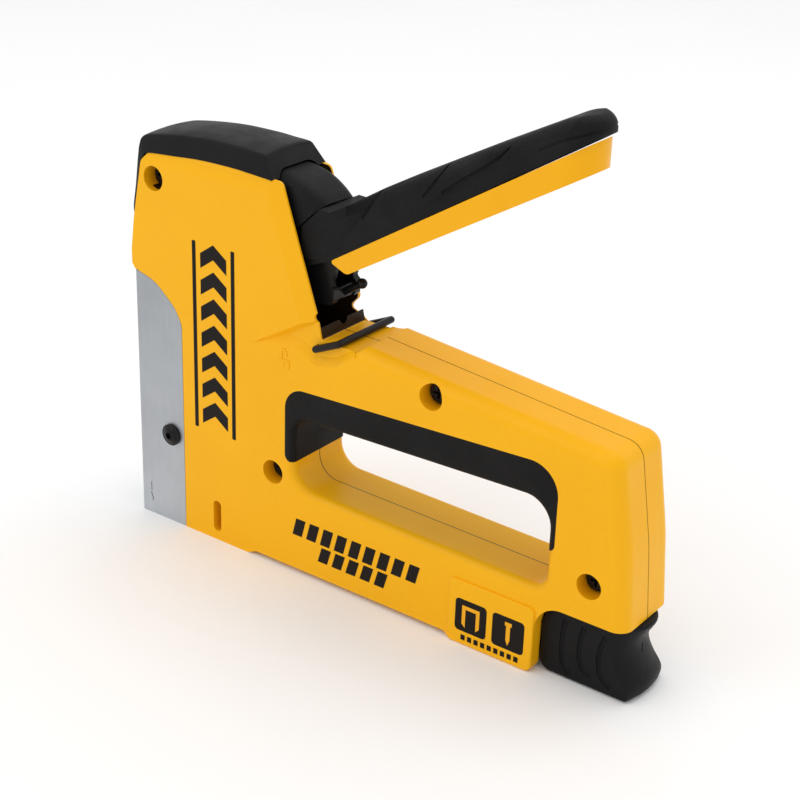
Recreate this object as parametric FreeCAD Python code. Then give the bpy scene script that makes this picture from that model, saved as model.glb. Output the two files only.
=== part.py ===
"""Heavy-duty hand staple gun with a squeeze lever, a wire lever lock and a pull-out magazine slide.

Units are millimetres.  In this script x runs from the nose's front face (0) towards the rear, y from the
left side (-) to the right side (+), z up from the sole.  On export everything moves forward by EXIT_X, so
that the origin is the middle of the staple exit on the sole.
"""
import FreeCAD
import Part
import math
import os

V = FreeCAD.Vector
ALONG_X, ALONG_Y, ALONG_Z = V(1, 0, 0), V(0, 1, 0), V(0, 0, 1)

# ---------------------------------------------------------------- driving dimensions
EXIT_X = 2.2            # driver blade's mid-plane behind the nose's front face
HALF_WIDTH = 14.0       # body, centre plane to side face
WALL = 2.6              # die-cast housing wall
INNER = HALF_WIDTH - WALL
EDGE_ROUND = 5.0        # rounding of the handle's outer edges
SEAM = 0.25             # bevel of each half along the joint of the handle
GAP = 0.3               # clearance beside moving parts

BODY_REAR = 197.3       # rear end of the housing at its foot
BACK_LEAN = 2.1         # how much further forward the back is at half its height
HANDLE_REAR = BODY_REAR - 7.3           # rear end of the handle's top
FOOT_REAR = 166.4       # rear end of the magazine housing
PAD_FRONT = 134.8       # front end of the raised pad at the foot's rear
HEAD_TOP = 137.4        # top of the two head walls, under the cap
HANDLE_FRONT_Z = 89.4   # handle top at its front end
HANDLE_REAR_Z = 81.2    # handle top at its rear end
SOLE_RECESS = 1.8       # how far the sole is relieved between the foot and the rear pad
POST_FOOT_Z = 25.3      # underside of the rear post, over the magazine knob

PLATE = 1.4             # nose cover sheet
NOSE_DEPTH = 20.9       # nose cover, front to rear edge
NOSE_TOP = 92.3         # nose cover's top at the front
NOSE_REAR_TOP = 77.0    # nose cover's top at its rear edge
NOSE_SCREW = (15.4, 34.6)

PIVOT = (58.0, 112.0)   # lever pivot
PIN_R = 3.0
RUN_FIT = 0.05          # radial clearance of a turning fit
SLEEVE_R, RETURN_WIRE = 5.6, 0.7        # sleeve of the lever's core and the return spring on it
HUB_R = 25.8            # round hub of the lever, under the cap
LEVER_HALF = 10.0       # lever, centre plane to side
LEVER_SHEET = 1.5
CHEEK_IN, CHEEK_OUT = 4.5, 7.0          # the two cheeks of the lever's core
ARM_R = 34.0            # lever arm from pivot to lifting roller
LEVER_TRAVEL = 34.0     # degrees
ROLLER_R = 3.0
LIFT = 2 * ARM_R * math.sin(math.radians(LEVER_TRAVEL / 2))

BLADE_T, BLADE_HALF = 1.0, 5.3
BLADE_LOW, BLADE_TOP = 0.3, 62.0
SPRING_X = 11.6         # mainspring axis
SPRING_R, SPRING_WIRE, SPRING_TURNS = 6.2, 1.1, 8
BUMPER_Z, PLUNGER_Z, SEAT_Z = 48.0, 54.0, 62.0
SPRING_TOP = 118.6      # under the front screw's post

CHANNEL_HALF, CHANNEL_T = 5.5, 1.2      # magazine channel's inner half width and sheet
CHANNEL_TOP = 16.4                      # underside of its web
CHANNEL_FRONT, CHANNEL_REAR = 4.6, 152.0
RAIL_HALF, RAIL_SHEET, RAIL_TOP, RAIL_FOOT = 3.9, 1.0, 14.6, 2.6
RAIL_FRONT, RAIL_REAR = 4.0, 176.0
ROD_R, ROD_Z = 1.5, 8.6
CLIP_X, SPRING_THIN = 163.0, 0.3        # rod clip that stops the pusher spring, and the spring's wire radius
PUSHER_LEN = 22.0
KNOB_HALF = 10.65
KNOB_FRONT, KNOB_REAR = 166.8, 200.8
KNOB_CORNER = 7.0       # rounding of the rear corners in plan
KNOB_TOP = POST_FOOT_Z - 0.5

BAIL_PIVOT, BAIL_BAR = (78.8, 84.5), (88.0, 88.7)
BAIL_R, BAIL_LEG_Y = 1.2, 13.7
BAIL_REACH = math.hypot(BAIL_BAR[0] - BAIL_PIVOT[0], BAIL_BAR[1] - BAIL_PIVOT[1])
PEG_ROOT, PEG_BALL, PEG_R, PEG_BALL_R = (79.0, 100.2), (86.3, 104.8), 1.2, 1.7

SCREWS = [(9.6, 126.2), (61.2, 35.0), (124.1, 81.3), (183.9, 37.5)]
RECESS_R, RECESS_DEPTH = 4.25, 6.5      # screw recess in the left side
SCREW_R, SCREW_HEAD_R = 1.9, 3.6

# ---------------------------------------------------------------- shape helpers


def outline(points):
    """Closed wire in the XZ plane from corners (x, z) or (x, z, corner radius)."""
    edges, ends = [], []
    for i, corner in enumerate(points):
        here = V(corner[0], 0, corner[1])
        before, after = points[i - 1], points[(i + 1) % len(points)]
        radius = corner[2] if len(corner) > 2 else 0
        if not radius:
            ends.append((here, here, None))
            continue
        back = (V(before[0], 0, before[1]) - here).normalize()
        ahead = (V(after[0], 0, after[1]) - here).normalize()
        half = back.getAngle(ahead) / 2
        reach = radius / math.tan(half)
        middle = (back + ahead).normalize() * (radius / math.sin(half) - radius)
        ends.append((here + back * reach, here + ahead * reach, here + middle))
    for i, (start, stop, middle) in enumerate(ends):
        if middle is not None:
            edges.append(Part.Arc(start, middle, stop).toShape())
        following = ends[(i + 1) % len(ends)][0]
        if stop.distanceToPoint(following) > 1e-6:
            edges.append(Part.LineSegment(stop, following).toShape())
    return Part.Wire(edges)


def slab(points, y0, y1):
    """The outline, extruded from y0 to y1."""
    face = Part.Face(outline(points))
    face.translate(V(0, y0, 0))
    return face.extrude(V(0, y1 - y0, 0))


def box(x0, x1, y0, y1, z0, z1):
    return Part.makeBox(x1 - x0, y1 - y0, z1 - z0, V(x0, y0, z0))


def round_y(centre, radius, y0, y1):
    return Part.makeCylinder(radius, y1 - y0, V(centre[0], y0, centre[1]), ALONG_Y)


def round_x(z, radius, x0, x1):
    """Bar on the centre plane along x."""
    return Part.makeCylinder(radius, x1 - x0, V(x0, 0, z), ALONG_X)


def round_z(x, y, radius, z0, z1):
    return Part.makeCylinder(radius, z1 - z0, V(x, y, z0), ALONG_Z)


def mirrored(shape):
    """The same shape on the other side of the centre plane."""
    return shape.mirror(V(0, 0, 0), ALONG_Y)


def joined(shapes):
    whole = shapes[0].fuse(shapes[1:]) if len(shapes) > 1 else shapes[0]
    return whole.removeSplitter()


def edges_where(shape, test):
    return [edge for edge in shape.Edges if test(edge)]


def in_plane(edge, y):
    """True when the whole edge lies at that y."""
    bounds = edge.BoundBox
    return abs(bounds.YMin - y) < 1e-4 and abs(bounds.YMax - y) < 1e-4


def side_edges(shape, y):
    return edges_where(shape, lambda edge: in_plane(edge, y))


def coil(radius, wire_radius, turns, start, length, axis):
    """A plain helical spring of round wire from start, along axis."""
    helix = Part.makeHelix(length / turns, length, radius)
    ring = Part.Wire(Part.makeCircle(wire_radius, V(radius, 0, 0), ALONG_Y))
    spring = Part.Wire(helix).makePipeShell([ring], True, True)
    spring.Placement = FreeCAD.Placement(start, FreeCAD.Rotation(ALONG_Z, axis))
    return spring


def swung(centre, reach, degrees):
    """The point at that reach and angle above level from a centre (x, z)."""
    angle = math.radians(degrees)
    return (centre[0] + reach * math.cos(angle), centre[1] + reach * math.sin(angle))


NODES = {}


def keep(name, shape):
    """Adds a sub-part.  A list of shapes becomes one node of separate solids."""
    NODES[name] = Part.makeCompound(shape) if isinstance(shape, list) else shape


# ---------------------------------------------------------------- outlines of the body
HEAD_REAR_TOP, HEAD_REAR_LOW = (63.5, HEAD_TOP - 1.4), (78.2, 94.6)
LEDGE_Z = HANDLE_FRONT_Z - 2.1         # ledge under the wire bail

BODY_OUTLINE = [
    (PLATE, 0), (50.0, 0, 3), (53.8, SOLE_RECESS, 3), (PAD_FRONT - 1.8, SOLE_RECESS, 1.5), (PAD_FRONT, 0, 1.5),
    (FOOT_REAR, 0, 2.5), (FOOT_REAR, POST_FOOT_Z, 9), (BODY_REAR, POST_FOOT_Z),
    (BODY_REAR - BACK_LEAN, 50.0, 90), (HANDLE_REAR, HANDLE_REAR_Z, 6), (97.0, HANDLE_FRONT_Z), (94.6, LEDGE_Z, 2),
    (79.9, LEDGE_Z, 0.8), HEAD_REAR_LOW + (5,), HEAD_REAR_TOP + (2,),
    (40.0, HEAD_TOP, 80), (7.2, HEAD_TOP - 2.8, 3), (4.2, 131.5, 3), (0.0, 110.0, 60),
    (-1.4, 99.0, 6), (-1.4, 94.2, 1), (0.0, NOSE_TOP), (PLATE, NOSE_TOP),
]

HANDLE_START = 94.6                    # the handle's rounded stretch begins behind the bail's ledge
HANDLE_SLOPE = (HANDLE_FRONT_Z - HANDLE_REAR_Z) / (HANDLE_REAR - 97.0)
REAR_SLOPE = BACK_LEAN / (50.0 - POST_FOOT_Z)
HANDLE_ENVELOPE = [
    (HANDLE_START, -5), (BODY_REAR + REAR_SLOPE * (POST_FOOT_Z + 5), -5), (BODY_REAR - BACK_LEAN, 50.0, 90),
    (HANDLE_REAR, HANDLE_REAR_Z, 6),
    (HANDLE_START, HANDLE_FRONT_Z + HANDLE_SLOPE * (97.0 - HANDLE_START)),
]

# the hand opening and the seat of the rubber grip around its top
LOOP_FRONT, LOOP_REAR, LOOP_FLOOR = 70.0, 168.6, 31.0
SEAT_FRONT, SEAT_REAR = 66.4, 171.2
SEAT_TOP_FRONT, SEAT_TOP_REAR = 68.0, 72.8
GRIP_LOW_FRONT, GRIP_LOW_REAR = 41.0, 44.5
GRIP_INSIDE_FRONT, GRIP_INSIDE_REAR = 57.4, 60.4
LOOP_FLARE = 3.0
GRIP_ROUND = 2.0

OPENING = [
    (LOOP_FRONT, LOOP_FLOOR + 0.8, 8), (LOOP_REAR, LOOP_FLOOR - 0.8, 5),
    (LOOP_REAR, GRIP_INSIDE_REAR, 9), (LOOP_FRONT, GRIP_INSIDE_FRONT, 6),
]
GRIP_SEAT = [
    (SEAT_FRONT, GRIP_LOW_FRONT, 2.4), (SEAT_REAR, GRIP_LOW_REAR, 2.4),
    (SEAT_REAR, SEAT_TOP_REAR, 10), (SEAT_FRONT, SEAT_TOP_FRONT, 8),
]

# the hollow inside the two halves
HEAD_HOLLOW = [
    (PLATE - 0.1, BUMPER_Z), (SPRING_X + 13.0, BUMPER_Z, 3), (SPRING_X + 13.0, 76.0, 3), (79.0, 76.0, 3),
    (79.0, 150.0), (30.0, 150.0),
    (30.0, HEAD_TOP - WALL - 0.6), (7.4, HEAD_TOP - WALL - 2.0, 3), (PLATE - 0.1, 108.5, 10),
]
HANDLE_HOLLOW = [
    (84.0, HANDLE_FRONT_Z - WALL - 5.5, 2), (HANDLE_REAR - 2.0, HANDLE_REAR_Z - WALL - 0.8, 5),
    (BODY_REAR - BACK_LEAN - WALL, 50.0, 60),
    (BODY_REAR - WALL - 0.3, POST_FOOT_Z + WALL, 2), (SEAT_REAR + WALL, POST_FOOT_Z + WALL, 3),
    (SEAT_REAR + WALL, SEAT_TOP_REAR + WALL - 0.4, 8), (84.0, SEAT_TOP_FRONT + WALL + 1.0, 1),
]
NOSE_HOLLOW = [
    (7.2, 22.5, 1), (SPRING_X + 11.0, 22.5, 2), (SPRING_X + 11.0, BUMPER_Z - WALL, 2), (7.2, BUMPER_Z - WALL, 1),
]
ROOT_HOLLOW = [
    (SPRING_X + 16.8, 22.5, 3), (160.0, 22.5, 2), (160.0, LOOP_FLOOR - WALL - 0.6, 2),
    (SEAT_FRONT - WALL - 0.4, LOOP_FLOOR - WALL + 0.4, 8), (SEAT_FRONT - WALL - 0.4, 72.0, 5),
    (SPRING_X + 16.8, 73.4, 3),
]


def pocket(points):
    """The outline as a pocket of the left half, from the centre plane to the wall."""
    return slab(points, -INNER, 1)


# ---------------------------------------------------------------- housing


def bevel(start, stop, width, depth, reach):
    """Wedge that bevels the left side face along an edge from start to stop (x, z)."""
    a, b = V(start[0], -HALF_WIDTH, start[1]), V(stop[0], -HALF_WIDTH, stop[1])
    run = (b - a).normalize()
    inward = V(run.z, 0, -run.x)
    if inward.dot(V(30, 0, 100) - a) < 0:
        inward = inward * -1
    a = a - run * reach
    corners = [a + inward * width, a + V(0, depth, 0), a + V(0, depth, 0) - inward * 4,
               a - inward * 4 - V(0, 3, 0), a + inward * width - V(0, 3, 0)]
    face = Part.Face(Part.makePolygon(corners + corners[:1]))
    return face.extrude(b + run * reach - a)


def bail_hollow():
    """Sunk area round the bail's foot, with sloping sides: steep under the head, shallow towards the handle."""
    outer, deep = -HALF_WIDTH - 0.3, -BAIL_LEG_Y + BAIL_R + GAP
    rim = [(50.0, 78.6), (78.9, 95.8), (84.0, 98.0), (101.0, 94.0), (95.0, 86.4), (88.0, 80.6), (79.0, 78.4), (70.0, 82.6)]
    floor = [(66.0, 86.0), (79.4, 93.8), (84.0, 95.5), (97.0, 92.0), (91.5, 86.8), (86.5, 83.2), (79.0, 81.8), (73.0, 85.2)]
    wires = [Part.makePolygon([V(x, y, z) for x, z in corners + corners[:1]]) for y, corners in ((outer, rim), (deep, floor))]
    return Part.makeLoft(wires, True, True)


def nose_side(y0, y1, margin):
    """The nose cover's side; its seat in the housing when margin is more than 0."""
    low = -1.0 if margin else 0.0
    top = NOSE_TOP + margin
    rear = NOSE_DEPTH + margin
    return slab([(-3, low), (rear, low), (rear, NOSE_REAR_TOP + margin, 5), (18.0, 82.6 + margin, 12),
                 (9.0, 90.0 + margin, 14), (0.0, top), (-3, top)], y0, y1)


def left_half():
    """Left half of the housing, before the screw holes."""
    body = slab(BODY_OUTLINE, -HALF_WIDTH, 0)
    rounded = slab(HANDLE_ENVELOPE, -HALF_WIDTH, 0)
    rounded = rounded.makeFillet(EDGE_ROUND, edges_where(rounded, lambda edge: in_plane(edge, -HALF_WIDTH)
                                 and edge.BoundBox.Center.z > 0 and edge.BoundBox.Center.x > HANDLE_START + 1))
    rounded = rounded.makeChamfer(SEAM, edges_where(rounded, lambda edge: in_plane(edge, 0)
                                  and edge.BoundBox.Center.z > 0 and edge.BoundBox.Center.x > HANDLE_START + 1))
    behind = box(HANDLE_START, BODY_REAR + 50, -HALF_WIDTH - 6, 1, -10, 150)
    body = body.cut(behind).fuse(body.common(rounded))
    opening = slab(OPENING, -HALF_WIDTH - 1, 1)
    body = body.cut(opening)
    rim = edges_where(body, lambda edge: in_plane(edge, -HALF_WIDTH)
                      and LOOP_FRONT - 1 < edge.BoundBox.Center.x < LOOP_REAR + 1
                      and LOOP_FLOOR - 2 < edge.BoundBox.Center.z < GRIP_INSIDE_REAR + 1)
    body = body.makeFillet(LOOP_FLARE, rim)
    body = body.cut(slab(GRIP_SEAT, -HALF_WIDTH - 1, 1))
    body = body.cut(bevel(HEAD_REAR_TOP, HEAD_REAR_LOW, 6.2, 1.7, 1.0))
    body = body.cut(bevel((66.0, HEAD_TOP - 1.4), (2.0, HEAD_TOP - 2.8), 4.0, 0.9, 4.0))
    body = body.cut(bail_hollow())
    # raised pad at the rear of the foot
    pad = slab([(PAD_FRONT, 0, 1.5), (FOOT_REAR, 0, 2.5), (FOOT_REAR, 23.0, 2), (PAD_FRONT, 23.0, 2)],
               -HALF_WIDTH - 1.0, -HALF_WIDTH + 1.0)
    pad = pad.makeFillet(0.8, side_edges(pad, -HALF_WIDTH - 1.0))
    body = body.fuse(pad)
    for points in (HEAD_HOLLOW, HANDLE_HOLLOW, NOSE_HOLLOW, ROOT_HOLLOW):
        body = body.cut(pocket(points))
    # way for the lever's hub through the top of the head
    body = body.cut(round_y(PIVOT, HUB_R + 1.2, -LEVER_HALF - 0.9, 1))
    body = body.cut(box(30.0, 90.0, -LEVER_HALF - 0.9, 1, PIVOT[1], 150.0))
    # magazine tunnel with its open sole, and the way of the slide behind it
    tunnel = CHANNEL_HALF + CHANNEL_T
    body = body.cut(box(PLATE + BLADE_T + GAP, FOOT_REAR + 1, -tunnel, 1, -1, CHANNEL_TOP + CHANNEL_T))
    body = body.cut(box(CHANNEL_REAR, FOOT_REAR + 1, -KNOB_HALF + 1.0 - GAP, 1, -1, CHANNEL_TOP + CHANNEL_T + 2))
    # way of the driver blade and its plunger behind the nose cover
    body = body.cut(box(-1, PLATE + BLADE_T + 2 * GAP, -BLADE_HALF - GAP, 1, -1, NOSE_TOP))
    body = body.cut(box(-1, CHANNEL_FRONT, -9.0, 1, CHANNEL_TOP, BUMPER_Z))
    body = body.cut(box(-1, 6.0, -9.0, 1, BUMPER_Z - 1, NOSE_TOP))
    body = body.cut(nose_side(-HALF_WIDTH - 2, -HALF_WIDTH + PLATE, 0.15))
    slot = [(34.2, 3.4, 1.7), (37.7, 3.4, 1.7), (37.7, 15.2, 1.7), (34.2, 15.2, 1.7)]
    body = body.cut(slab(slot, -HALF_WIDTH - 1, 0))
    # bosses for the pivot pin and posts for the screws
    body = body.fuse(round_y(PIVOT, 6.0, -INNER - 0.5, -LEVER_HALF - GAP))
    body = body.cut(round_y(PIVOT, PIN_R, -INNER - 1.2, 1))
    block = slab(BODY_OUTLINE, -HALF_WIDTH + 0.5, 0)
    for x, z in SCREWS:
        post = round_y((x, z), RECESS_R + 1.6, -HALF_WIDTH + 0.5, 0)
        post = post.common(rounded if x > HANDLE_START else block)
        if x < PIVOT[0] and z > NOSE_TOP:
            post = post.common(box(-5, 30, -20, 0, 122.0, HEAD_TOP - 1))
        body = body.fuse(post)
    body = body.cut(round_y(BAIL_PIVOT, BAIL_R + RUN_FIT, -HALF_WIDTH, -9.5))
    body = body.cut(round_y(NOSE_SCREW, 1.5, -HALF_WIDTH, -6.9))
    # notch in the head's rear edge where the wire bail rests when it is up
    body = body.cut(round_y(swung(BAIL_PIVOT, BAIL_REACH, 91.0), BAIL_R + GAP, -HALF_WIDTH - 1, 0))
    # way of the lock peg's ball into the root of the handle
    peg_reach = math.hypot(PEG_BALL[0] - PIVOT[0], PEG_BALL[1] - PIVOT[1])
    path = Part.makeTorus(peg_reach, PEG_BALL_R + GAP, V(PIVOT[0], 0, PIVOT[1]), V(0, 1, 0))
    body = body.cut(path.common(box(70.0, 90.0, -PEG_BALL_R - 1, 1, 80.0, 100.0)))
    return body.removeSplitter()


def build_housing():
    left = left_half()
    right = mirrored(left)
    for x, z in SCREWS:
        recess = round_y((x, z), RECESS_R, -HALF_WIDTH - 1, -HALF_WIDTH + RECESS_DEPTH)
        left = left.cut(recess).cut(round_y((x, z), SCREW_R + 0.2, -HALF_WIDTH, 1))
        right = right.cut(round_y((x, z), SCREW_R, -1, HALF_WIDTH - 4.0))
    # deeper scallop in the right wall beside the lock
    scallop = [(74.6, 103.0), (76.0, 94.0, 2), (72.4, 90.2, 1.4), (77.4, 88.4, 2), (80.0, 86.6), (90, 86.6), (90, 103.0)]
    right = right.cut(slab(scallop, INNER - 1, HALF_WIDTH + 1))
    keep("left_housing", left)
    keep("right_housing", right)


def build_cap():
    """Cap over the head: drafted sides, crowned top, a tongue down the front."""
    low = [(60.2, HEAD_TOP - 1.3, 1), (56.2, 143.0, 1.5), (40.0, 143.6, 80), (22.0, 142.9, 60), (5.0, 139.6, 3), (2.6, 134.6, 3),
           (-1.0, 114.0, 20), (-1.2, 111.5, 0.4), (1.6, 111.5, 0.4), (6.2, 132.0, 3), (8.6, HEAD_TOP - 2.4, 2),
           (40.0, HEAD_TOP + 0.3, 80)]
    side = slab(low, -13.35, 13.35)
    draft = Part.Face(Part.makePolygon([V(0, -13.35, 137.2), V(0, -9.75, 143.6), V(0, -9.75, 150), V(0, -20, 150),
                                        V(0, -20, 137.2), V(0, -13.35, 137.2)]))
    draft = draft.extrude(V(100, 0, 0))
    draft.translate(V(-20, 0, 0))
    crown = slab([(55.4, 140.0), (54.8, 143.4, 3), (40.0, 145.4, 80), (19.0, 145.2, 60), (5.8, 139.0), (30.0, 140.0)],
                 -9.0, 9.0)
    crown = crown.makeFillet(1.8, edges_where(crown, lambda e: abs(abs(e.BoundBox.Center.y) - 9) < 1e-3
                                              and e.BoundBox.Center.z > 141))
    cap = side.cut(draft).cut(mirrored(draft)).fuse(crown).removeSplitter()
    # arch over the lever's hub
    cap = cap.cut(round_y(PIVOT, HUB_R + 0.8, -LEVER_HALF - 0.5, LEVER_HALF + 0.5))
    cap = cap.cut(slab(BODY_OUTLINE, -20, 20))
    keep("top_cap", cap.removeSplitter())


def build_nose():
    """Sheet steel nose cover: a front plate and two sides."""
    plate = nose_side(-HALF_WIDTH, HALF_WIDTH, 0).cut(box(-5, 0, -20, 20, -2, 100))
    corners = edges_where(plate, lambda edge: abs(edge.BoundBox.XMax) < 1e-4 and edge.BoundBox.ZLength > 50)
    plate = plate.makeFillet(0.6, corners)
    plate = plate.cut(box(PLATE, 40, -HALF_WIDTH + PLATE, HALF_WIDTH - PLATE, -2, 100))
    screws = []
    for side in (-1, 1):
        hole = round_y(NOSE_SCREW, 1.7, *sorted((side * 10, side * 20)))
        plate = plate.cut(hole)
        head = Part.makeCylinder(3.9, 1.0, V(NOSE_SCREW[0], side * HALF_WIDTH, NOSE_SCREW[1]), V(0, side, 0))
        dome = Part.makeSphere(5.2, V(NOSE_SCREW[0], side * (HALF_WIDTH - 2.9), NOSE_SCREW[1]))
        dome = dome.common(Part.makeCylinder(3.9, 4, V(NOSE_SCREW[0], side * HALF_WIDTH, NOSE_SCREW[1]), V(0, side, 0)))
        socket = Part.makeCylinder(1.2, 3, V(NOSE_SCREW[0], side * (HALF_WIDTH + 1.0), NOSE_SCREW[1]), V(0, side, 0))
        shank = round_y(NOSE_SCREW, 1.5, *sorted((side * 7.2, side * HALF_WIDTH)))
        screws.append(joined([head, dome, shank]).cut(socket))
    keep("nose_cover", plate)
    keep("nose_cover_screws", screws)


def build_screws():
    """The four housing screws, driven from the left."""
    screws = []
    for x, z in SCREWS:
        floor = -HALF_WIDTH + RECESS_DEPTH
        head = round_y((x, z), SCREW_HEAD_R, floor - 2.2, floor)
        head = head.makeFillet(0.7, side_edges(head, floor - 2.2))
        cross = joined([box(x - 2.0, x + 2.0, floor - 3, floor - 1.0, z - 0.45, z + 0.45),
                        box(x - 0.45, x + 0.45, floor - 3, floor - 1.0, z - 2.0, z + 2.0)])
        screws.append(head.cut(cross).fuse(round_y((x, z), SCREW_R, floor, 9.4)).removeSplitter())
    keep("housing_screws", screws)


def build_loop_grip():
    """Rubber grip round the top of the hand opening, moulded between the two halves."""
    grip = slab(GRIP_SEAT, -HALF_WIDTH, HALF_WIDTH).cut(slab(OPENING, -20, 20))
    grip = grip.cut(slab([(LOOP_FRONT - 0.01, 30), (LOOP_REAR + 0.01, 30), (LOOP_REAR + 0.01, 50),
                          (LOOP_FRONT - 0.01, 50)], -20, 20))
    for y in (-HALF_WIDTH, HALF_WIDTH):
        inside = edges_where(grip, lambda e: in_plane(e, y) and LOOP_FRONT + 2 < e.BoundBox.Center.x < LOOP_REAR - 3
                             and e.BoundBox.Center.z < GRIP_INSIDE_REAR + 1)
        grip = grip.makeFillet(GRIP_ROUND, inside)
    keep("loop_grip", grip)


# ---------------------------------------------------------------- magazine

def build_magazine():
    out, top = CHANNEL_HALF + CHANNEL_T, CHANNEL_TOP + CHANNEL_T
    channel = box(CHANNEL_FRONT, CHANNEL_REAR, -out, out, 0.4, top)
    channel = channel.makeFillet(1.6, edges_where(channel, lambda e: e.BoundBox.XLength > 50 and e.BoundBox.ZMin > 5))
    channel = channel.cut(box(CHANNEL_FRONT - 1, CHANNEL_REAR + 1, -CHANNEL_HALF, CHANNEL_HALF, -1, CHANNEL_TOP))
    for y0, y1 in ((-out - 1, -CHANNEL_HALF + 1), (CHANNEL_HALF - 1, out + 1)):
        window = slab([(34.2, 3.4, 1.7), (37.7, 3.4, 1.7), (37.7, 15.2, 1.7), (34.2, 15.2, 1.7)], y0, y1)
        channel = channel.cut(window)
    keep("magazine_channel", channel)
    guide = box(PLATE + BLADE_T + 2 * GAP, CHANNEL_FRONT, -9.0, 9.0, top + 0.1, BUMPER_Z - 0.2)
    for z in (30.0, 54.0):
        guide = guide.cut(round_x(z, 2.5, 0, 8))
    keep("drive_guide", guide)
    rail = box(RAIL_FRONT, RAIL_REAR, -RAIL_HALF, RAIL_HALF, RAIL_FOOT, RAIL_TOP)
    rail = rail.makeFillet(1.2, edges_where(rail, lambda e: e.BoundBox.XLength > 50 and e.BoundBox.ZMin > 5))
    inside = RAIL_HALF - RAIL_SHEET
    rail = rail.cut(box(RAIL_FRONT + RAIL_SHEET, RAIL_REAR + 1, -inside, inside, 0, RAIL_TOP - RAIL_SHEET))
    rail = rail.cut(round_x(ROD_Z, ROD_R, 0, RAIL_FRONT + 2))
    keep("inner_rail", rail)
    rod = round_x(ROD_Z, ROD_R, RAIL_FRONT, 172.0)
    keep("guide_rod", rod)
    keep("rod_clip", round_x(ROD_Z, 2.6, CLIP_X, CLIP_X + 1.4).cut(round_x(ROD_Z, ROD_R, CLIP_X - 1, CLIP_X + 3)))


def build_pusher():
    """Saddle over the rail with a lug that runs on the guide rod inside it."""
    start, stop = RAIL_FRONT + 2.4, RAIL_FRONT + 2.4 + PUSHER_LEN
    out, top = CHANNEL_HALF - GAP, CHANNEL_TOP - GAP
    saddle = box(start, stop, -out, out, 0.8, top)
    saddle = saddle.makeFillet(0.8, edges_where(saddle, lambda e: e.BoundBox.XLength > 10))
    saddle = saddle.cut(box(start - 1, stop + 1, -RAIL_HALF - GAP, RAIL_HALF + GAP, RAIL_FOOT - GAP, RAIL_TOP + GAP))
    half = RAIL_HALF - RAIL_SHEET - GAP
    lug = box(start + 6, stop - 6, -half, half, 1.5, RAIL_TOP - RAIL_SHEET - GAP)
    lug = lug.cut(round_x(ROD_Z, ROD_R + RUN_FIT, start, stop))
    keep("pusher", joined([saddle, lug]))
    spring_start, spring_stop = stop - 6 + GAP + SPRING_THIN, CLIP_X - SPRING_THIN
    keep("pusher_spring", coil(ROD_R + 0.6, SPRING_THIN, 44, V(spring_start, 0, ROD_Z), spring_stop - spring_start, ALONG_X))


def build_knob():
    """Thumb knob of the magazine slide: a block with a scooped rear and a thumb lip."""
    side = [(KNOB_FRONT, 5.0, 2), (KNOB_FRONT + 2.2, 0.4, 2), (198.6, 0.4, 1.5), (KNOB_REAR, 4.2, 1.0),
            (196.6, 11.0, 5), (196.8, 18.0, 5), (199.3, 23.2, 0.8), (199.3, KNOB_TOP, 0.6), (KNOB_FRONT, KNOB_TOP, 8.6)]
    knob = slab(side, -20, 20)
    plan = box(KNOB_FRONT - 1, KNOB_REAR, -KNOB_HALF, KNOB_HALF, -1, KNOB_TOP + 1)
    plan = plan.makeFillet(KNOB_CORNER, edges_where(plan, lambda e: e.BoundBox.ZLength > 20
                                                    and e.BoundBox.XMin > KNOB_REAR - 1))
    knob = knob.common(plan)
    for x in (175.0, 181.5, 188.0):
        for side_y in (-1, 1):
            groove = round_z(x, side_y * (KNOB_HALF + 0.5), 1.0, 4.0, 21.0)
            knob = knob.cut(groove)
    hollow = box(KNOB_FRONT - 1, RAIL_REAR, -RAIL_HALF, RAIL_HALF, RAIL_FOOT, RAIL_TOP)
    knob = knob.cut(hollow)
    pin_z = 11.6
    knob = knob.cut(round_y((172.6, pin_z), 1.0, -KNOB_HALF + 2, KNOB_HALF - 2))
    NODES["inner_rail"] = NODES["inner_rail"].cut(round_y((172.6, pin_z), 1.0, -8, 8))
    keep("magazine_knob", knob)
    keep("knob_pin", round_y((172.6, pin_z), 1.0, -KNOB_HALF + 2, KNOB_HALF - 2))


# ---------------------------------------------------------------- striker


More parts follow.
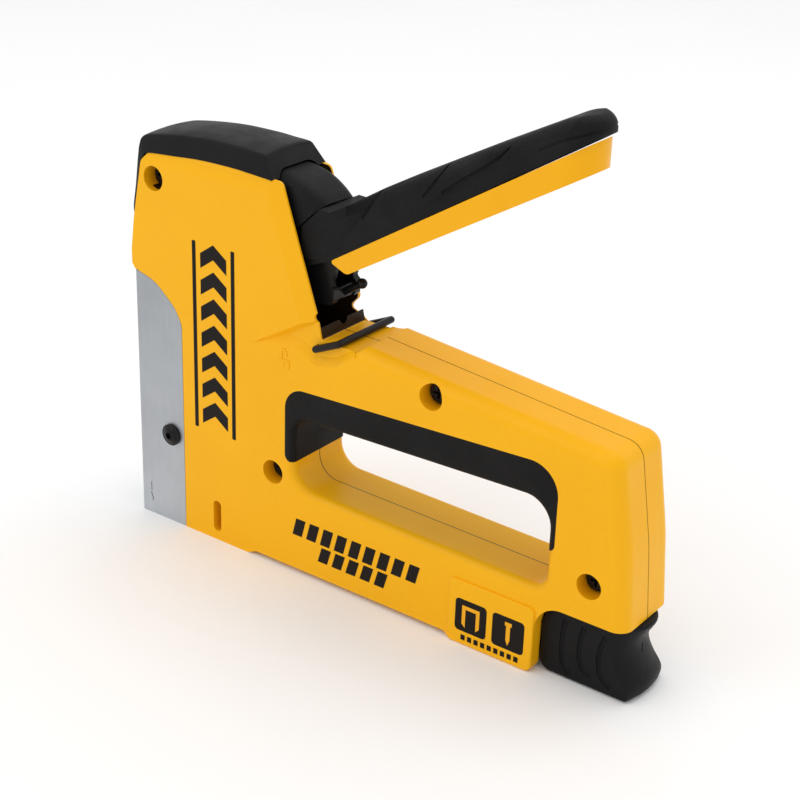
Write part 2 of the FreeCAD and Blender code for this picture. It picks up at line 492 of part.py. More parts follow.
def build_striker():
    blade = box(PLATE + GAP, PLATE + GAP + BLADE_T, -BLADE_HALF, BLADE_HALF, BLADE_LOW, BLADE_TOP)
    back = PLATE + GAP + BLADE_T
    rivet_z = (PLUNGER_Z + SEAT_Z) / 2
    roller_top = PIVOT[1] - ARM_R * math.sin(math.radians(LEVER_TRAVEL / 2)) + ROLLER_R
    column_x = SPRING_X + SPRING_R + SPRING_WIRE + 0.3
    plunger = joined([
        box(back, 6.0, -8.0, 8.0, PLUNGER_Z + 2, BLADE_TOP),
        box(4.4, column_x + 1.3, -8.0, 8.0, PLUNGER_Z, SEAT_Z),
        box(column_x, column_x + 1.3, -4.0, 4.0, PLUNGER_Z, roller_top + GAP + 5.5),
        box(column_x, column_x + 8.6, -4.0, 4.0, roller_top + GAP, roller_top + GAP + 5.5),
        round_z(SPRING_X, 0, SPRING_R - SPRING_WIRE - 0.5, SEAT_Z, SEAT_Z + 6),
    ])
    rivet = round_x(rivet_z, 1.8, PLATE + GAP, 14.0)
    keep("driver_blade", blade.cut(rivet))
    keep("plunger", plunger.cut(rivet))
    keep("blade_rivet", rivet)
    keep("mainspring", coil(SPRING_R, SPRING_WIRE, SPRING_TURNS, V(SPRING_X, 0, SEAT_Z + SPRING_WIRE + GAP),
                            SPRING_TOP - SEAT_Z - 2 * SPRING_WIRE - GAP, ALONG_Z))
    post_low = SCREWS[0][1] - RECESS_R - 1.6
    seat = box(4.6, 18.8, -INNER, INNER, SPRING_TOP, post_low)
    keep("spring_seat", joined([seat, round_z(SPRING_X, 0, SPRING_R - SPRING_WIRE - 0.5, SPRING_TOP - 4, SPRING_TOP)]))
    bumper = box(6.2, 21.4, -10.0, 10.0, BUMPER_Z, PLUNGER_Z - 0.5)
    keep("striker_bumper", bumper.makeFillet(1.0, edges_where(bumper, lambda e: e.BoundBox.ZMin > PLUNGER_Z - 1)))


# ---------------------------------------------------------------- lever
LEVER_LOW_FRONT, LEVER_LOW_REAR = (87.6, 110.8), (170.2, 160.6)
SPLIT_FRONT, SPLIT_REAR = (80.8, 113.6), (170.4, 169.8)
GRIP_END, SHELL_END = 171.4, 169.9     # rear ends of the rubber grip and of the steel channel under it
LEVER_RUN = V(LEVER_LOW_REAR[0] - LEVER_LOW_FRONT[0], 0, LEVER_LOW_REAR[1] - LEVER_LOW_FRONT[1]).normalize()
LEVER_UP = V(-LEVER_RUN.z, 0, LEVER_RUN.x)


def lever_box(x0, x1, half, z0, z1):
    """Box in the lever's own axes: x along its lower edge from the front corner, z square to it."""
    shape = box(x0, x1, -half, half, z0, z1)
    angle = math.degrees(math.atan2(LEVER_RUN.z, LEVER_RUN.x))
    shape.rotate(V(0, 0, 0), ALONG_Y, -angle)
    shape.translate(V(LEVER_LOW_FRONT[0], 0, LEVER_LOW_FRONT[1]))
    return shape


LEVER_LENGTH = math.hypot(LEVER_LOW_REAR[0] - LEVER_LOW_FRONT[0], LEVER_LOW_REAR[1] - LEVER_LOW_FRONT[1])
GRIP_OUTLINE = [
    SPLIT_FRONT + (0.8,), (173.6, 171.8), (173.6, 178.0), (163.5, 178.0), (134.8, 161.0), (99.7, 141.0, 10), (86.0, 132.4, 4), (80.4, 129.4, 3), (75.0, 129.6), (69.5, 122.6),
    (69.5, 109.0, 2),
]
CROWN_START = 87.0      # where the grip's rounded crest begins
GRIP_CREST, GRIP_TOP = 4.5, 175.4
SHELL_DEPTH = 6.5       # flanges of the lever's steel channel


def round_end(half, end):
    """Everything as wide as 2 x half in front of a rear end that is a half round in plan."""
    return joined([box(0, end - half, -half, half, 60, 200), round_z(end - half, 0, half, 60, 200)])


def grip_end():
    """The grip's rear end: a half round in plan whose upper rim is as round as the crest."""
    centre = GRIP_END - LEVER_HALF
    tip = round_z(centre, 0, LEVER_HALF, 60, GRIP_TOP)
    rim = edges_where(tip, lambda e: e.BoundBox.ZMin > GRIP_TOP - 1)
    return [box(0, centre, -LEVER_HALF, LEVER_HALF, 60, 200), tip.makeFillet(GRIP_CREST, rim)]


def build_lever():
    shell = slab([LEVER_LOW_FRONT + (2.6,), (LEVER_LOW_REAR[0] + 1, LEVER_LOW_REAR[1], 3),
                  (SPLIT_REAR[0] + 1, SPLIT_REAR[1]), SPLIT_FRONT + (0.8,)], -20, 20)
    shell = shell.common(round_end(LEVER_HALF, SHELL_END))
    inside = lever_box(-20, LEVER_LENGTH + 5, 20, -3, SHELL_DEPTH - LEVER_SHEET)
    shell = shell.cut(inside.common(round_end(LEVER_HALF - LEVER_SHEET, SHELL_END - LEVER_SHEET)))
    crown = slab([(CROWN_START, 90), (200, 90), (200, GRIP_TOP + 0.4), (163.5, GRIP_TOP, 20),
                  (134.8, 160.4, 60), (CROWN_START, 134.4)], -LEVER_HALF, LEVER_HALF)
    crest = edges_where(crown, lambda e: abs(abs(e.BoundBox.Center.y) - LEVER_HALF) < 1e-3
                        and e.BoundBox.Center.z > 131 and CROWN_START + 1 < e.BoundBox.Center.x < 199)
    crown = crown.makeFillet(GRIP_CREST, crest)
    crown = joined([crown.common(part) for part in grip_end()])
    grip = slab(GRIP_OUTLINE, -LEVER_HALF, LEVER_HALF).cut(box(CROWN_START, 200, -20, 20, 60, 200))
    grip = grip.fuse(slab(GRIP_OUTLINE, -20, 20).common(crown)).removeSplitter()
    hub = round_y(PIVOT, HUB_R, -LEVER_HALF, LEVER_HALF)
    sector = slab([(PIVOT[0] + 6, PIVOT[1] + 5), (PIVOT[0] + 26, PIVOT[1] + 25), (PIVOT[0] + 20, 160),
                   (PIVOT[0] - 30, 160), (PIVOT[0] - 26, PIVOT[1] + 19), (PIVOT[0] - 12, PIVOT[1] + 9)], -20, 20)
    hub = hub.common(sector)
    hub = hub.makeFillet(2.4, edges_where(hub, lambda e: abs(abs(e.BoundBox.Center.y) - LEVER_HALF) < 1e-3
                                          and e.BoundBox.Center.z > 131 and e.Length > 20))
    hub = hub.cut(round_y(PIVOT, HUB_R - 2.4, -LEVER_HALF + 2.0, LEVER_HALF - 2.0))
    hub = hub.cut(round_y(PIVOT, 9.5, -20, 20))
    grip = grip.cut(round_y(PIVOT, HUB_R, -20, 20).common(sector))
    grip = grip.cut(slab([(64.0, 100.0), (79.0, 100.0), (80.5, 112.9), (108.0, 129.2), (108.0, 131.2), (96.0, 131.2),
                          (78.0, 123.0), (69.0, 123.0), (64.0, 118.0)],
                         -CHEEK_OUT - GAP, CHEEK_OUT + GAP))
    keep("lever_shell", shell)
    keep("lever_grip", grip)
    keep("hub_cover", hub)
    build_core()


def build_core():
    """Yoke inside the lever: two cheeks from the lifting roller past the pivot to the lever's web."""
    roller = swung(PIVOT, ARM_R, 180 + LEVER_TRAVEL / 2)
    edge = SHELL_DEPTH - LEVER_SHEET
    seat = V(LEVER_LOW_FRONT[0], 0, LEVER_LOW_FRONT[1]) + LEVER_UP * edge
    front, rear = seat + LEVER_RUN * 2, seat + LEVER_RUN * 34
    low_rear = rear - LEVER_UP * 4
    cheek_points = [
        (roller[0] - 4.5, roller[1] + 4.4, 4), (roller[0] - 4.5, roller[1] - 4.4, 4), (roller[0] + 4.5, roller[1] - 5.0, 4),
        (50.0, 101.0, 8), (64.0, 99.0, 5), (71.0, 96.6, 3), (80.2, 97.6, 2), (80.4, 103.0, 1.0), (79.0, 104.0, 1.0),
        (80.6, 110.4, 2), (front.x, front.z - 3.6, 2), (low_rear.x, low_rear.z, 1), (rear.x, rear.z), (front.x, front.z),
        (74.0, 119.6, 5), (64.0, 121.4, 7), (54.0, 122.0, 8), (44.0, 112.0, 8),
    ]
    cheek = slab(cheek_points, CHEEK_IN, CHEEK_OUT)
    bridge = slab([(70.5, 97.4, 1), (79.6, 98.2, 1), (79.8, 102.6, 1), (72.0, 102.4, 1)], -CHEEK_IN, CHEEK_IN)
    sleeve = round_y(PIVOT, SLEEVE_R, -CHEEK_IN, CHEEK_IN)
    core = joined([cheek, mirrored(cheek), bridge, sleeve])
    core = core.cut(round_y(PIVOT, PIN_R + RUN_FIT, -20, 20)).cut(round_y(roller, 1.6, -20, 20))
    NODES["lever_shell"] = NODES["lever_shell"].cut(core)
    rivets = []
    for along in (14.0, 28.0):
        at = seat + LEVER_RUN * along - LEVER_UP * 1.9
        spot = (at.x, at.z)
        rivets.append(round_y(spot, 1.2, -LEVER_HALF + LEVER_SHEET, LEVER_HALF - LEVER_SHEET))
        core = core.cut(round_y(spot, 1.2, -20, 20))
    keep("lever_core", core)
    keep("lever_rivets", rivets)
    keep("lift_roller", round_y(roller, ROLLER_R, -CHEEK_IN + 0.4, CHEEK_IN - 0.4).cut(round_y(roller, 1.6, -20, 20)))
    keep("roller_pin", round_y(roller, 1.6, -CHEEK_OUT - 0.6, CHEEK_OUT + 0.6))
    keep("lever_pivot_pin", round_y(PIVOT, PIN_R, -INNER - 1.2, INNER + 1.2))
    root, ball = V(PEG_ROOT[0], 0, PEG_ROOT[1]), V(PEG_BALL[0], 0, PEG_BALL[1])
    stem = Part.makeCylinder(PEG_R, (ball - root).Length, root, ball - root)
    peg = joined([stem, Part.makeSphere(PEG_BALL_R, ball)])
    NODES["lever_core"] = NODES["lever_core"].cut(peg)
    keep("lock_peg", peg)
    tab = lever_box(65.0, 70.6, 4.0, -0.2, edge)
    tab = tab.makeFillet(1.0, edges_where(tab, lambda e: e.BoundBox.YLength > 7.9
                                          and (V(e.BoundBox.Center) - V(LEVER_LOW_FRONT[0], 0, LEVER_LOW_FRONT[1])).dot(LEVER_UP) < 0))
    keep("lever_bumper", tab)
    spring = coil(SLEEVE_R + RETURN_WIRE, RETURN_WIRE, 4, V(PIVOT[0], -3.2, PIVOT[1]), 6.4, ALONG_Y)
    keep("lever_return_spring", spring)


def build_bail():
    """Wire lever lock: a bar between two legs whose feet turn in the housing."""
    def leg(side):
        foot = round_y(BAIL_PIVOT, BAIL_R, *sorted((side * 9.7, side * BAIL_LEG_Y)))
        low = V(BAIL_PIVOT[0], side * BAIL_LEG_Y, BAIL_PIVOT[1])
        high = V(BAIL_BAR[0], side * BAIL_LEG_Y, BAIL_BAR[1])
        return [foot, Part.makeSphere(BAIL_R, low), Part.makeCylinder(BAIL_R, (high - low).Length, low, high - low),
                Part.makeSphere(BAIL_R, high)]
    bar = round_y(BAIL_BAR, BAIL_R, -BAIL_LEG_Y, BAIL_LEG_Y)
    keep("lock_bail", joined(leg(-1) + leg(1) + [bar]))


build_housing()
build_cap()
build_nose()
build_screws()
build_loop_grip()
build_magazine()
build_pusher()
build_knob()
build_striker()
build_lever()
build_bail()

if __name__ == "__main__":
    os.makedirs("parts", exist_ok=True)
    for old in os.listdir("parts"):
        os.remove(os.path.join("parts", old))
    for name, shape in NODES.items():
        shape.translate(V(-EXIT_X, 0, 0))
        shape.exportStep("parts/%s.step" % name)
        print(name, len(shape.Solids), "solids", "valid" if shape.isValid() else "INVALID", round(shape.Volume))
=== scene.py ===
import math
import bmesh
import bpy
from mathutils import Matrix, Vector


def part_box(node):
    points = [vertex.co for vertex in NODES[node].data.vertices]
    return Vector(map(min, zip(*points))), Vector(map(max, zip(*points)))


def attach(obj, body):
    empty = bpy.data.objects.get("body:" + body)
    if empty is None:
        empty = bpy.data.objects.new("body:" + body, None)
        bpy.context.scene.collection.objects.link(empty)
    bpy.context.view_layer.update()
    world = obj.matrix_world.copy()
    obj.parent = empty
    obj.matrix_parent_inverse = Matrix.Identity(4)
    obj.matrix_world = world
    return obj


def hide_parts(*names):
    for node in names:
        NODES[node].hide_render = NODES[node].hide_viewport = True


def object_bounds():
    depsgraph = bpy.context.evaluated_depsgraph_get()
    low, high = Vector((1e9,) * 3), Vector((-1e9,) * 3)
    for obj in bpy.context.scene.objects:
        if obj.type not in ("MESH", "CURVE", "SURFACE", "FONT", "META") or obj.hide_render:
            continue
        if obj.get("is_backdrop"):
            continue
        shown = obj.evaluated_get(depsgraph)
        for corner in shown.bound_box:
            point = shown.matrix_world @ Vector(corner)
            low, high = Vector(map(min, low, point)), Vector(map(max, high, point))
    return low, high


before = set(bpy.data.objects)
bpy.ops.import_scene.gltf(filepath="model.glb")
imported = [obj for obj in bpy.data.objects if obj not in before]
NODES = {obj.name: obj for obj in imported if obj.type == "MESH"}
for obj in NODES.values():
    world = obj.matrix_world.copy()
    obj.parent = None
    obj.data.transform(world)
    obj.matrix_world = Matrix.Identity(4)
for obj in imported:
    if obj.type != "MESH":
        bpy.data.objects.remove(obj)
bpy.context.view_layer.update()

MM = 0.001
NOSE_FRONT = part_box("nose_cover")[0].x           # the nose's front face; lengths below count from it
SIDE = -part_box("nose_cover")[0].y / MM           # half the body's width, mm


def P(x, y, z):
    """Point from mm behind the nose's front face, mm to the right, mm above the sole."""
    return Vector((NOSE_FRONT + x * MM, y * MM, z * MM))


# ---------------------------------------------------------------- materials


def new_material(name):
    material = bpy.data.materials.new(name)
    material.use_nodes = True
    tree = material.node_tree
    return material, tree, tree.nodes["Principled BSDF"]


def add(tree, kind, **settings):
    node = tree.nodes.new(kind)
    for key, value in settings.items():
        if key in node.inputs:
            node.inputs[key].default_value = value
        else:
            setattr(node, key, value)
    return node


def noise(tree, scale, detail=3.0, roughness=0.5, stretch=None):
    """Noise over the object's own coordinates, in units of the frame's metres."""
    coords = add(tree, "ShaderNodeTexCoord")
    source = coords.outputs["Object"]
    if stretch:
        mapping = add(tree, "ShaderNodeMapping")
        mapping.inputs["Scale"].default_value = stretch
        tree.links.new(source, mapping.inputs["Vector"])
        source = mapping.outputs["Vector"]
    node = add(tree, "ShaderNodeTexNoise", Scale=scale, Detail=detail, Roughness=roughness)
    tree.links.new(source, node.inputs["Vector"])
    return node.outputs["Fac"]


def ramp(tree, source, low, high, start=0.35, stop=0.65):
    """Colour or grey that runs from low to high as source runs from start to stop."""
    node = add(tree, "ShaderNodeValToRGB")
    node.color_ramp.elements[0].position = start
    node.color_ramp.elements[1].position = stop
    node.color_ramp.elements[0].color = low if len(low) == 4 else (*low, 1)
    node.color_ramp.elements[1].color = high if len(high) == 4 else (*high, 1)
    tree.links.new(source, node.inputs["Fac"])
    return node.outputs["Color"]


def grey(value):
    return (value, value, value)


def bump(tree, shader, source, strength, distance):
    node = add(tree, "ShaderNodeBump", Strength=strength, Distance=distance)
    tree.links.new(source, node.inputs["Height"])
    tree.links.new(node.outputs["Normal"], shader.inputs["Normal"])
    return node


def mixed(tree, a, b, factor, blend="MULTIPLY"):
    node = add(tree, "ShaderNodeMix", data_type="RGBA", blend_type=blend)
    node.inputs["Factor"].default_value = factor
    tree.links.new(a, node.inputs[6])
    tree.links.new(b, node.inputs[7])
    return node.outputs[2]


def within(tree, value, low, high):
    """1 where value lies between low and high, else 0."""
    over = add(tree, "ShaderNodeMath", operation="GREATER_THAN")
    under = add(tree, "ShaderNodeMath", operation="LESS_THAN")
    both = add(tree, "ShaderNodeMath", operation="MULTIPLY")
    over.inputs[1].default_value = low
    under.inputs[1].default_value = high
    tree.links.new(value, over.inputs[0])
    tree.links.new(value, under.inputs[0])
    tree.links.new(over.outputs[0], both.inputs[0])
    tree.links.new(under.outputs[0], both.inputs[1])
    return both.outputs[0]


def own_axes(tree):
    """The object's own x, y and z as three outputs, in metres."""
    coords = add(tree, "ShaderNodeTexCoord")
    parts = add(tree, "ShaderNodeSeparateXYZ")
    tree.links.new(coords.outputs["Object"], parts.inputs[0])
    return parts.outputs


def product(tree, *factors):
    result = factors[0]
    for factor in factors[1:]:
        node = add(tree, "ShaderNodeMath", operation="MULTIPLY")
        tree.links.new(result, node.inputs[0])
        tree.links.new(factor, node.inputs[1])
        result = node.outputs[0]
    return result


def paint_pocket_shade_and_seam(tree, shader, shift):
    """Darkens the head's pocket with painted shade and paints the joint line between the two halves dark."""
    x, y, z = own_axes(tree)
    low, high = P(7.0, -11.6, 72.0) - shift, P(80.0, 11.6, 150.0) - shift
    pocket_shade = product(tree, within(tree, x, low.x, high.x), within(tree, y, low.y, high.y),
                     within(tree, z, low.z, high.z))
    seam = within(tree, y, -0.17 * MM - shift.y, 0.17 * MM - shift.y)
    # the pocket tint is painted shade where the pocket falls in shadow; the seam tint is the dark joint line
    for mask, tint in ((seam, (0.10, 0.036, 0.004, 1)), (pocket_shade, (0.030, 0.015, 0.004, 1))):
        node = add(tree, "ShaderNodeMix", data_type="RGBA")
        tree.links.new(mask, node.inputs["Factor"])
        tree.links.new(shader.inputs["Base Color"].links[0].from_socket, node.inputs[6])
        node.inputs[7].default_value = tint
        tree.links.new(node.outputs[2], shader.inputs["Base Color"])


def paint(name, base, dark, rough, peel=0.10, gloss=0.16):
    """Sprayed paint: faint orange peel, a little dust and uneven gloss."""
    material, tree, shader = new_material(name)
    cloud = noise(tree, 22, 4, 0.55)
    colour = ramp(tree, cloud, dark, base, 0.30, 0.62)
    speck = ramp(tree, noise(tree, 900, 2, 0.6), grey(0.975), grey(1.0), 0.30, 0.42)
    tree.links.new(mixed(tree, colour, speck, 1.0), shader.inputs["Base Color"])
    tree.links.new(ramp(tree, noise(tree, 60, 5, 0.6), grey(rough - 0.05), grey(rough + 0.07)),
                   shader.inputs["Roughness"])
    bump(tree, shader, noise(tree, 520, 2, 0.4), peel, 0.0004)
    shader.inputs["Specular IOR Level"].default_value = gloss
    shader.inputs["Coat Weight"].default_value = 0.20 * gloss
    shader.inputs["Coat Roughness"].default_value = 0.22
    return material


def moulded(name, base, light, rough, grain_scale, grain):
    """Moulded plastic or rubber: fine spark-eroded grain with slightly uneven gloss."""
    material, tree, shader = new_material(name)
    colour = ramp(tree, noise(tree, 45, 5, 0.6), base, light, 0.30, 0.75)
    tree.links.new(colour, shader.inputs["Base Color"])
    tree.links.new(ramp(tree, noise(tree, 80, 4, 0.6), grey(rough - 0.06), grey(rough + 0.08)),
                   shader.inputs["Roughness"])
    bump(tree, shader, noise(tree, grain_scale, 3, 0.65), grain, 0.0005)
    shader.inputs["Specular IOR Level"].default_value = 0.13
    return material


def steel(name, base, bright, rough, along=(1, 1, 1), streak=0.12, metallic=1.0, top_shade=None):
    """Rolled or drawn steel with fine streaks along one direction, with optional painted shade towards the
    top.
    """
    material, tree, shader = new_material(name)
    shader.inputs["Metallic"].default_value = metallic
    streaks = noise(tree, 900, 4, 0.7, along)
    patches = noise(tree, 35, 4, 0.6)
    sheet = ramp(tree, patches, base, bright, 0.3, 0.7)
    colour = mixed(tree, sheet, ramp(tree, streaks, grey(0.95), grey(1.0)), 1.0)
    if top_shade:
        # painted shade: darkens towards the top of the sheet
        height = own_axes(tree)[2]
        colour = mixed(tree, colour, ramp(tree, height, grey(1.0), grey(top_shade), 0.0, 0.11), 1.0)
    tree.links.new(colour, shader.inputs["Base Color"])
    tree.links.new(ramp(tree, patches, grey(rough + 0.08), grey(rough - 0.05)), shader.inputs["Roughness"])
    bump(tree, shader, streaks, streak, 0.0002)
    return material


YELLOW = paint("yellow_paint", (0.94, 0.462, 0.004), (0.91, 0.440, 0.0035), 0.36)
YELLOW_LEVER = paint("yellow_lever_paint", (0.92, 0.435, 0.004), (0.88, 0.412, 0.0035), 0.32)
BLACK_PLASTIC = moulded("black_plastic", (0.0055, 0.0055, 0.0060), (0.0080, 0.0080, 0.0085), 0.46, 1500, 0.30)
BLACK_RUBBER = moulded("black_rubber", (0.0055, 0.0050, 0.0050), (0.0085, 0.0080, 0.0080), 0.52, 1100, 0.42)
# the last figure, 0.70, is painted shade towards the top of the nose cover
NOSE_STEEL = steel("nose_steel", (0.49, 0.51, 0.535), (0.53, 0.555, 0.585), 0.46, (1, 1, 0.06), 0.06,
                   0.80, 0.70)
BRIGHT_STEEL = steel("bright_steel", (0.45, 0.46, 0.48), (0.56, 0.57, 0.59), 0.30, (0.06, 1, 1), 0.10)
SPRING_STEEL = steel("spring_steel", (0.20, 0.20, 0.22), (0.32, 0.32, 0.34), 0.30, (1, 1, 1), 0.08)
BLACK_STEEL = paint("black_oxide", (0.008, 0.0078, 0.0078), (0.006, 0.0055, 0.0055), 0.34, 0.06)
WIRE = paint("black_wire", (0.013, 0.010, 0.009), (0.008, 0.0065, 0.006), 0.34, 0.05)
BLACK_INK = paint("black_ink", (0.010, 0.0075, 0.0060), (0.008, 0.006, 0.005), 0.55, 0.04, 0.12)
YELLOW_INK = paint("yellow_ink", (0.90, 0.42, 0.012), (0.84, 0.39, 0.010), 0.45, 0.04)

NODE_MATERIALS = {
    YELLOW: ["left_housing", "right_housing"],
    YELLOW_LEVER: ["lever_shell"],
    BLACK_PLASTIC: ["top_cap", "magazine_knob", "hub_cover"],
    BLACK_RUBBER: ["loop_grip", "lever_grip", "striker_bumper", "lever_bumper"],
    NOSE_STEEL: ["nose_cover"],
    BRIGHT_STEEL: ["magazine_channel", "drive_guide", "inner_rail", "guide_rod", "pusher", "knob_pin",
                   "plunger", "blade_rivet", "spring_seat", "lever_rivets", "lift_roller", "roller_pin",
                   "lever_pivot_pin"],
    SPRING_STEEL: ["pusher_spring", "mainspring", "lever_return_spring", "driver_blade"],
    BLACK_STEEL: ["nose_cover_screws", "housing_screws", "rod_clip", "lever_core", "lock_peg"],
    WIRE: ["lock_bail"],
}
for material, names in NODE_MATERIALS.items():
    for name in names:
        NODES[name].data.materials.clear()
        NODES[name].data.materials.append(material)

SIGN_YELLOW = paint("yellow_sign_paint", (0.94, 0.462, 0.004), (0.91, 0.440, 0.0035), 0.36)
# painted shade in the head's pocket, and the dark joint line, on the housing's paint
paint_pocket_shade_and_seam(YELLOW.node_tree, YELLOW.node_tree.nodes["Principled BSDF"],
            NODES["left_housing"].matrix_world.translation)

# ---------------------------------------------------------------- mesh helpers


def smooth(obj, degrees=35):
    """Smooth shading that keeps edges sharper than the angle."""
    mesh = obj.data
    mesh.polygons.foreach_set("use_smooth", [True] * len(mesh.polygons))
    mesh.set_sharp_from_angle(angle=math.radians(degrees))
    return obj


def finish_piece(name, build, material, body, replaces=(), angle=35):
    """Object from a bmesh, shaded, with its material, riding on a body."""
    mesh = bpy.data.meshes.new(name)
    bmesh.ops.recalc_face_normals(build, faces=build.faces)
    build.to_mesh(mesh)
    build.free()
    mesh.materials.append(material)
    obj = bpy.data.objects.new(name, mesh)
    bpy.context.scene.collection.objects.link(obj)
    smooth(obj, angle)
    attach(obj, body)
    if replaces:
        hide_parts(*replaces)
    return obj


def copy_of(node, name):
    """A new object with a copy of a CAD node's mesh."""
    obj = bpy.data.objects.new(name, NODES[node].data.copy())
    bpy.context.scene.collection.objects.link(obj)
    return obj


def applied(obj):
    """Replaces an object's mesh by what its modifiers make of it."""
    graph = bpy.context.evaluated_depsgraph_get()
    mesh = bpy.data.meshes.new_from_object(obj.evaluated_get(graph))
    obj.modifiers.clear()
    obj.data = mesh
    return obj


def carve(obj, cutter, operation="DIFFERENCE"):
    """Boolean with a helper object, which is then removed."""
    modifier = obj.modifiers.new("carve", "BOOLEAN")
    modifier.operation = operation
    modifier.solver = "EXACT"
    modifier.object = cutter
    applied(obj)
    bpy.data.objects.remove(cutter)
    return obj


def tube(points, radius, name="cutter"):
    """Closed round tube along smooth points, as a mesh object."""
    curve = bpy.data.curves.new(name, "CURVE")
    curve.dimensions = "3D"
    curve.bevel_depth = radius
    curve.bevel_resolution = 4
    curve.use_fill_caps = True
    spline = curve.splines.new("NURBS")
    spline.points.add(len(points) - 1)
    for knot, point in zip(spline.points, points):
        knot.co = (*point, 1)
    spline.order_u = 3
    spline.use_endpoint_u = True
    spline.resolution_u = 10
    obj = bpy.data.objects.new(name, curve)
    bpy.context.scene.collection.objects.link(obj)
    graph = bpy.context.evaluated_depsgraph_get()
    mesh = bpy.data.meshes.new_from_object(obj.evaluated_get(graph))
    bpy.data.objects.remove(obj)
    solid = bpy.data.objects.new(name, mesh)
    bpy.context.scene.collection.objects.link(solid)
    return solid


def prism(build, corners, y0, y1):
    """Adds a prism over a polygon of (x, z) corners, between two y planes, all in mm."""
    near = [build.verts.new(P(x, y0, z)) for x, z in corners]
    far = [build.verts.new(P(x, y1, z)) for x, z in corners]
    build.faces.new(near)
    build.faces.new(far[::-1])
    count = len(corners)
    for i in range(count):
        build.faces.new((near[i], far[i], far[(i + 1) % count], near[(i + 1) % count]))


def rounded_rect(x0, z0, x1, z1, radius, steps=5):
    """Corners (x, z) of a rectangle with rounded corners."""
    centres = [(x1 - radius, z0 + radius, -90), (x1 - radius, z1 - radius, 0),
               (x0 + radius, z1 - radius, 90), (x0 + radius, z0 + radius, 180)]
    return [(cx + radius * math.cos(math.radians(start + 90 * i / steps)),
             cz + radius * math.sin(math.radians(start + 90 * i / steps)))
            for cx, cz, start in centres for i in range(steps + 1)]


# ---------------------------------------------------------------- black pieces with more shape than the CAD

DATUM_FRONT, DATUM_REAR = Vector((81.0, 0, 115.2)), Vector((176.3, 0, 172.6))
ALONG = (DATUM_REAR - DATUM_FRONT).normalized()
ABOVE = Vector((-ALONG.z, 0, ALONG.x))
PIVOT = (58.0, 112.0)
LEVER_HALF = 10.0
GRIP_END = 171.4


def on_lever(u, y, v):
    """Point on the lever: u along a line near the grip's lower edge, y to the right, v square to it."""
    point = DATUM_FRONT + ALONG * u + ABOVE * v
    return P(point.x, y, point.z)


def lever_grip():
    """Lever's rubber grip with three S-shaped grooves that wrap over its crest."""
    grip = copy_of("lever_grip", "grip_lever")
    grooves = [
        [(31, 0, 12.9), (29.5, -5.0, 12.8), (27.5, -8.9, 11.6), (24.5, -10, 9.8), (18.4, -10, 6.6)],
        [(58, 0, 11.6), (57, -5.0, 11.5), (54.5, -8.9, 10.3), (51.0, -10, 8.4), (43.5, -10, 5.4)],
        [(86, 0, 9.9), (84, -5.5, 9.7), (79.5, -9.0, 8.4), (74.0, -10, 6.6), (66.0, -10, 5.9),
         (58.0, -10, 5.4), (50.5, -10, 4.2)],
    ]
    for line in grooves:
        for side in (1, -1):
            carve(grip, tube([on_lever(u, y * side, v) for u, y, v in line], 0.42 * MM))
    centre, reach = GRIP_END - LEVER_HALF, LEVER_HALF + 0.12
    lip = [P(x, -reach, 168.6 + (x - centre) * 0.60) for x in (154.0, 156.0, 158.5)]
    for turn in range(-90, 91, 15):
        x = centre + reach * math.cos(math.radians(turn))
        lip.append(P(x, reach * math.sin(math.radians(turn)), 168.6 + (x - centre) * 0.36))
    lip += [Vector((point.x, -point.y, point.z)) for point in lip[2::-1]]
    carve(grip, tube(lip, 0.34 * MM))
    grip.data.materials.clear()
    grip.data.materials.append(BLACK_RUBBER)
    smooth(grip, 30)
    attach(grip, "lever")
    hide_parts("lever_grip")


def spline_points(rows, count):
    """count points evenly spaced in parameter on a Catmull-Rom curve through rows of numbers."""
    result = []
    last = len(rows) - 1
    for k in range(count):
        t = k / (count - 1) * last
        i = min(int(t), last - 1)
        f = t - i
        a, b, c, d = (rows[max(i - 1, 0)], rows[i], rows[i + 1], rows[min(i + 2, last)])
        result.append([0.5 * (2 * q + (r - p) * f + (2 * p - 5 * q + 4 * r - s) * f * f
                              + (3 * q - p - 3 * r + s) * f ** 3) for p, q, r, s in zip(a, b, c, d)])
    return result


def lathe(build, profile, start, stop, steps):
    """Adds a solid of revolution about the lever's pivot from a closed outline of (radius, y), in mm."""
    closed = stop - start > 359
    rings = []
    for k in range(steps if closed else steps + 1):
        turn = math.radians(start + (stop - start) * k / steps)
        rings.append([build.verts.new(P(PIVOT[0] + r * math.cos(turn), y, PIVOT[1] + r * math.sin(turn)))
                      for r, y in profile])
    count = len(profile)
    for a, b in zip(rings, rings[1:] + (rings[:1] if closed else [])):
        for i in range(count):
            build.faces.new((a[i], b[i], b[(i + 1) % count], a[(i + 1) % count]))
    if not closed:
        build.faces.new(rings[0])
        build.faces.new(rings[-1][::-1])


def crested(radius, half, crest, steps=8):
    """Outline (radius, y) of a rim with rounded shoulders, from the left side to the right."""
    left = [(radius - crest + crest * math.sin(math.radians(90 * k / steps)),
             -half + crest - crest * math.cos(math.radians(90 * k / steps))) for k in range(steps + 1)]
    return left + [(r, -y) for r, y in left[::-1]]


HUB_R, HUB_CREST, HUB_WALL = 25.8, 5.2, 2.0


def hub():
    """Round hub of the lever's cover, with the same soft shoulders as the grip."""
    build = bmesh.new()
    bore, roof, cheek = 9.5, HUB_R - HUB_WALL - 3.6, LEVER_HALF - HUB_WALL
    profile = ([(bore, -LEVER_HALF)] + crested(HUB_R, LEVER_HALF, HUB_CREST)
               + [(bore, LEVER_HALF), (bore, cheek), (roof, cheek * 0.98)]
               + [(roof, -cheek * 0.98), (bore, -cheek)])
    lathe(build, profile, 44.4, 142.0, 98)
    finish_piece("hub_skin", build, BLACK_PLASTIC, "lever", ("hub_cover",), 40)


